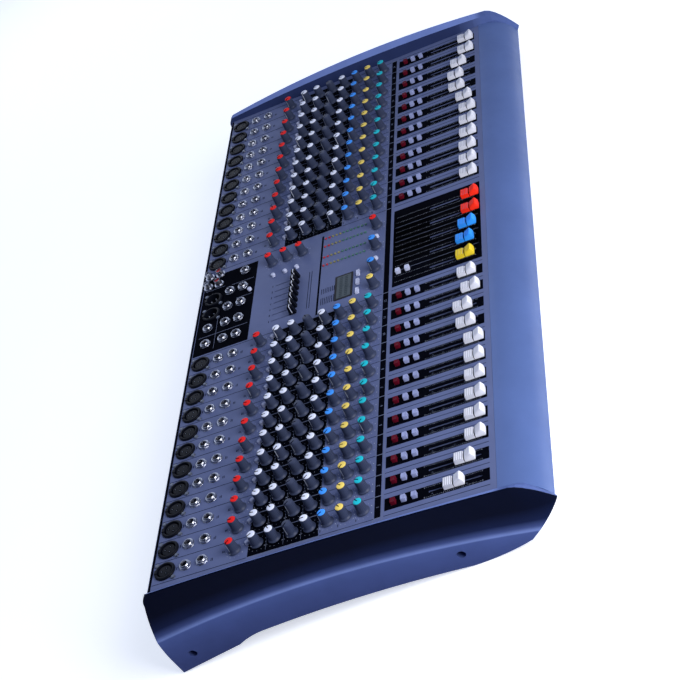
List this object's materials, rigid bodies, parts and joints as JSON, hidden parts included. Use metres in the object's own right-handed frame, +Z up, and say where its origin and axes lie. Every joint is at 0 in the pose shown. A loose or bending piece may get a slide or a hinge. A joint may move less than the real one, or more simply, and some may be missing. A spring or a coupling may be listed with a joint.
{
  "type": "mixing console",
  "caption": "Sloping audio mixing console with faders, skirted knobs, push buttons, socket rows, a meter section, arched end cheeks and a rounded armrest.",
  "frame": {"origin": "on the ground, midway between the end cheeks, under the middle of the footprint", "axes": "+X to the operator's right, +Y from the armrest to the connector edge, +Z up"},
  "size_m": [0.882, 0.4218, 0.106],
  "materials": {
    "panel_paint": "satin slate blue powder coat",
    "tray_paint": "matt dark powder coat",
    "cheek_plastic": "semi-gloss dark navy moulding",
    "armrest_paint": "satin steel blue",
    "socket_plastic": "fine matt black",
    "nickel": "polished nickel plate",
    "output_plastic": "fine matt black",
    "phono_metal": "plated collar with coloured insert",
    "knob_plastic": "fine matt slate",
    "module_case": "moulded black",
    "board_green": "solder resist",
    "display_glass": "grey green display glass and clear light caps",
    "screw_black": "black zinc",
    "inlet_plastic": "black",
    "rocker_plastic": "black",
    "foot_rubber": "matt",
    "slider_plastic": "black with a white line",
    "fader_white": "cool white, ribbed",
    "fader_red": "red, ribbed",
    "fader_blue": "blue, ribbed",
    "fader_yellow": "yellow, ribbed",
    "button_white": "off-white",
    "button_mute": "dark red, translucent",
    "button_grey": "lavender grey"
  },
  "bodies": {
    "chassis": {"control_panel": "panel_paint", "base_tray": "tray_paint", "left_end_cheek": "cheek_plastic", "right_end_cheek": "cheek_plastic", "armrest": "armrest_paint", "xlr_input_sockets": "socket_plastic", "xlr_output_sockets": "output_plastic", "jack_sockets": "nickel", "jack_nuts": "nickel", "rca_sockets": "phono_metal", "rotary_knobs": "knob_plastic", "control_modules": "module_case", "circuit_boards": "board_green", "display_module": "display_glass", "screws": "screw_black", "mains_inlet": "inlet_plastic", "rubber_feet": "foot_rubber"},
    "fader_01": {"fader_01": "fader_white"},
    "fader_02": {"fader_02": "fader_white"},
    "fader_03": {"fader_03": "fader_white"},
    "fader_04": {"fader_04": "fader_white"},
    "fader_05": {"fader_05": "fader_white"},
    "fader_06": {"fader_06": "fader_white"},
    "fader_07": {"fader_07": "fader_white"},
    "fader_08": {"fader_08": "fader_white"},
    "fader_09": {"fader_09": "fader_white"},
    "fader_10": {"fader_10": "fader_white"},
    "fader_11": {"fader_11": "fader_white"},
    "fader_12": {"fader_12": "fader_white"},
    "fader_13": {"fader_13": "fader_white"},
    "fader_14": {"fader_14": "fader_white"},
    "fader_15": {"fader_15": "fader_white"},
    "fader_16": {"fader_16": "fader_white"},
    "fader_17": {"fader_17": "fader_white"},
    "fader_18": {"fader_18": "fader_white"},
    "fader_19": {"fader_19": "fader_white"},
    "fader_20": {"fader_20": "fader_white"},
    "fader_21": {"fader_21": "fader_white"},
    "fader_22": {"fader_22": "fader_white"},
    "fader_23": {"fader_23": "fader_white"},
    "fader_24": {"fader_24": "fader_white"},
    "fader_main_left": {"fader_main_left": "fader_red"},
    "fader_main_right": {"fader_main_right": "fader_red"},
    "fader_group_one": {"fader_group_one": "fader_blue"},
    "fader_group_two": {"fader_group_two": "fader_blue"},
    "fader_effects_return": {"fader_effects_return": "fader_yellow"},
    "knob_gain": {"knob_gain": "knob_plastic"},
    "knob_high": {"knob_high": "knob_plastic"},
    "knob_high_mid": {"knob_high_mid": "knob_plastic"},
    "knob_mid_frequency": {"knob_mid_frequency": "knob_plastic"},
    "knob_low": {"knob_low": "knob_plastic"},
    "knob_aux_one": {"knob_aux_one": "knob_plastic"},
    "knob_aux_two": {"knob_aux_two": "knob_plastic"},
    "knob_pan": {"knob_pan": "knob_plastic"},
    "low_cut_buttons": {"low_cut_buttons": "button_white"},
    "mute_buttons": {"mute_buttons": "button_mute"},
    "assign_buttons": {"assign_buttons": "button_grey"},
    "master_buttons": {"master_buttons": "button_white"},
    "graphic_sliders": {"graphic_sliders": "slider_plastic"},
    "power_rocker": {"power_rocker": "rocker_plastic"}
  },
  "joints": [
    {"name": "fader_01_slide", "type": "slide", "parent": "chassis", "child": "fader_01", "axis": [0, 0.9949, 0.1011], "range_m": [-0.023, 0.022]},
    {"name": "fader_02_slide", "type": "slide", "parent": "chassis", "child": "fader_02", "axis": [0, 0.9949, 0.1011], "range_m": [-0.012, 0.033]},
    {"name": "fader_03_slide", "type": "slide", "parent": "chassis", "child": "fader_03", "axis": [0, 0.9949, 0.1011], "range_m": [-0.001, 0.044]},
    {"name": "fader_04_slide", "type": "slide", "parent": "chassis", "child": "fader_04", "axis": [0, 0.9949, 0.1011], "range_m": [-0.001, 0.044]},
    {"name": "fader_05_slide", "type": "slide", "parent": "chassis", "child": "fader_05", "axis": [0, 0.9949, 0.1011], "range_m": [0, 0.045]},
    {"name": "fader_06_slide", "type": "slide", "parent": "chassis", "child": "fader_06", "axis": [0, 0.9949, 0.1011], "range_m": [0, 0.045]},
    {"name": "fader_07_slide", "type": "slide", "parent": "chassis", "child": "fader_07", "axis": [0, 0.9949, 0.1011], "range_m": [0, 0.045]},
    {"name": "fader_08_slide", "type": "slide", "parent": "chassis", "child": "fader_08", "axis": [0, 0.9949, 0.1011], "range_m": [0, 0.045]},
    {"name": "fader_09_slide", "type": "slide", "parent": "chassis", "child": "fader_09", "axis": [0, 0.9949, 0.1011], "range_m": [-0.008, 0.037]},
    {"name": "fader_10_slide", "type": "slide", "parent": "chassis", "child": "fader_10", "axis": [0, 0.9949, 0.1011], "range_m": [-0.011, 0.034]},
    {"name": "fader_11_slide", "type": "slide", "parent": "chassis", "child": "fader_11", "axis": [0, 0.9949, 0.1011], "range_m": [-0.002, 0.043]},
    {"name": "fader_12_slide", "type": "slide", "parent": "chassis", "child": "fader_12", "axis": [0, 0.9949, 0.1011], "range_m": [-0.006, 0.039]},
    {"name": "fader_13_slide", "type": "slide", "parent": "chassis", "child": "fader_13", "axis": [0, 0.9949, 0.1011], "range_m": [-0.001, 0.044]},
    {"name": "fader_14_slide", "type": "slide", "parent": "chassis", "child": "fader_14", "axis": [0, 0.9949, 0.1011], "range_m": [-0.001, 0.044]},
    {"name": "fader_15_slide", "type": "slide", "parent": "chassis", "child": "fader_15", "axis": [0, 0.9949, 0.1011], "range_m": [-0.001, 0.044]},
    {"name": "fader_16_slide", "type": "slide", "parent": "chassis", "child": "fader_16", "axis": [0, 0.9949, 0.1011], "range_m": [0, 0.045]},
    {"name": "fader_17_slide", "type": "slide", "parent": "chassis", "child": "fader_17", "axis": [0, 0.9949, 0.1011], "range_m": [0, 0.045]},
    {"name": "fader_18_slide", "type": "slide", "parent": "chassis", "child": "fader_18", "axis": [0, 0.9949, 0.1011], "range_m": [0, 0.045]},
    {"name": "fader_19_slide", "type": "slide", "parent": "chassis", "child": "fader_19", "axis": [0, 0.9949, 0.1011], "range_m": [-0.004, 0.041]},
    {"name": "fader_20_slide", "type": "slide", "parent": "chassis", "child": "fader_20", "axis": [0, 0.9949, 0.1011], "range_m": [-0.013, 0.032]},
    {"name": "fader_21_slide", "type": "slide", "parent": "chassis", "child": "fader_21", "axis": [0, 0.9949, 0.1011], "range_m": [-0.014, 0.031]},
    {"name": "fader_22_slide", "type": "slide", "parent": "chassis", "child": "fader_22", "axis": [0, 0.9949, 0.1011], "range_m": [-0.01, 0.035]},
    {"name": "fader_23_slide", "type": "slide", "parent": "chassis", "child": "fader_23", "axis": [0, 0.9949, 0.1011], "range_m": [0, 0.045]},
    {"name": "fader_24_slide", "type": "slide", "parent": "chassis", "child": "fader_24", "axis": [0, 0.9949, 0.1011], "range_m": [0, 0.045]},
    {"name": "fader_main_left_slide", "type": "slide", "parent": "chassis", "child": "fader_main_left", "axis": [0, 0.9949, 0.1011], "range_m": [0, 0.045]},
    {"name": "fader_main_right_slide", "type": "slide", "parent": "chassis", "child": "fader_main_right", "axis": [0, 0.9949, 0.1011], "range_m": [0, 0.045]},
    {"name": "fader_group_one_slide", "type": "slide", "parent": "chassis", "child": "fader_group_one", "axis": [0, 0.9949, 0.1011], "range_m": [-0.004, 0.041]},
    {"name": "fader_group_two_slide", "type": "slide", "parent": "chassis", "child": "fader_group_two", "axis": [0, 0.9949, 0.1011], "range_m": [-0.007, 0.038]},
    {"name": "fader_effects_return_slide", "type": "slide", "parent": "chassis", "child": "fader_effects_return", "axis": [0, 0.9949, 0.1011], "range_m": [-0.007, 0.038]},
    {"name": "knob_gain_turn", "type": "hinge", "parent": "chassis", "child": "knob_gain", "pos_m": [-0.4004, 0.09576, 0.08923], "axis": [0, -0.1011, 0.9949], "range_deg": [-150, 150]},
    {"name": "knob_high_turn", "type": "hinge", "parent": "chassis", "child": "knob_high", "pos_m": [-0.4004, 0.07218, 0.08684], "axis": [0, -0.1011, 0.9949], "range_deg": [-150, 150]},
    {"name": "knob_high_mid_turn", "type": "hinge", "parent": "chassis", "child": "knob_high_mid", "pos_m": [-0.4004, 0.05398, 0.08499], "axis": [0, -0.1011, 0.9949], "range_deg": [-150, 150]},
    {"name": "knob_mid_frequency_turn", "type": "hinge", "parent": "chassis", "child": "knob_mid_frequency", "pos_m": [-0.4004, 0.03577, 0.08314], "axis": [0, -0.1011, 0.9949], "range_deg": [-150, 150]},
    {"name": "knob_low_turn", "type": "hinge", "parent": "chassis", "child": "knob_low", "pos_m": [-0.4004, 0.01756, 0.08129], "axis": [0, -0.1011, 0.9949], "range_deg": [-150, 150]},
    {"name": "knob_aux_one_turn", "type": "hinge", "parent": "chassis", "child": "knob_aux_one", "pos_m": [-0.4004, -0.00064, 0.07944], "axis": [0, -0.1011, 0.9949], "range_deg": [-150, 150]},
    {"name": "knob_aux_two_turn", "type": "hinge", "parent": "chassis", "child": "knob_aux_two", "pos_m": [-0.4004, -0.01885, 0.07759], "axis": [0, -0.1011, 0.9949], "range_deg": [-150, 150]},
    {"name": "knob_pan_turn", "type": "hinge", "parent": "chassis", "child": "knob_pan", "pos_m": [-0.4004, -0.03706, 0.07574], "axis": [0, -0.1011, 0.9949], "range_deg": [-150, 150]},
    {"name": "low_cut_buttons_press", "type": "slide", "parent": "chassis", "child": "low_cut_buttons", "axis": [0, 0.1011, -0.9949], "range_m": [0, 0.002]},
    {"name": "mute_buttons_press", "type": "slide", "parent": "chassis", "child": "mute_buttons", "axis": [0, 0.1011, -0.9949], "range_m": [0, 0.002]},
    {"name": "assign_buttons_press", "type": "slide", "parent": "chassis", "child": "assign_buttons", "axis": [0, 0.1011, -0.9949], "range_m": [0, 0.002]},
    {"name": "master_buttons_press", "type": "slide", "parent": "chassis", "child": "master_buttons", "axis": [0, 0.1011, -0.9949], "range_m": [0, 0.002]},
    {"name": "graphic_sliders_slide", "type": "slide", "parent": "chassis", "child": "graphic_sliders", "axis": [0, 0.9949, 0.1011], "range_m": [0, 0.025]},
    {"name": "power_rocker_tilt", "type": "hinge", "parent": "chassis", "child": "power_rocker", "pos_m": [0.255, 0.18776, 0.05335], "axis": [1, 0, 0], "range_deg": [-6, 6]}
  ]
}
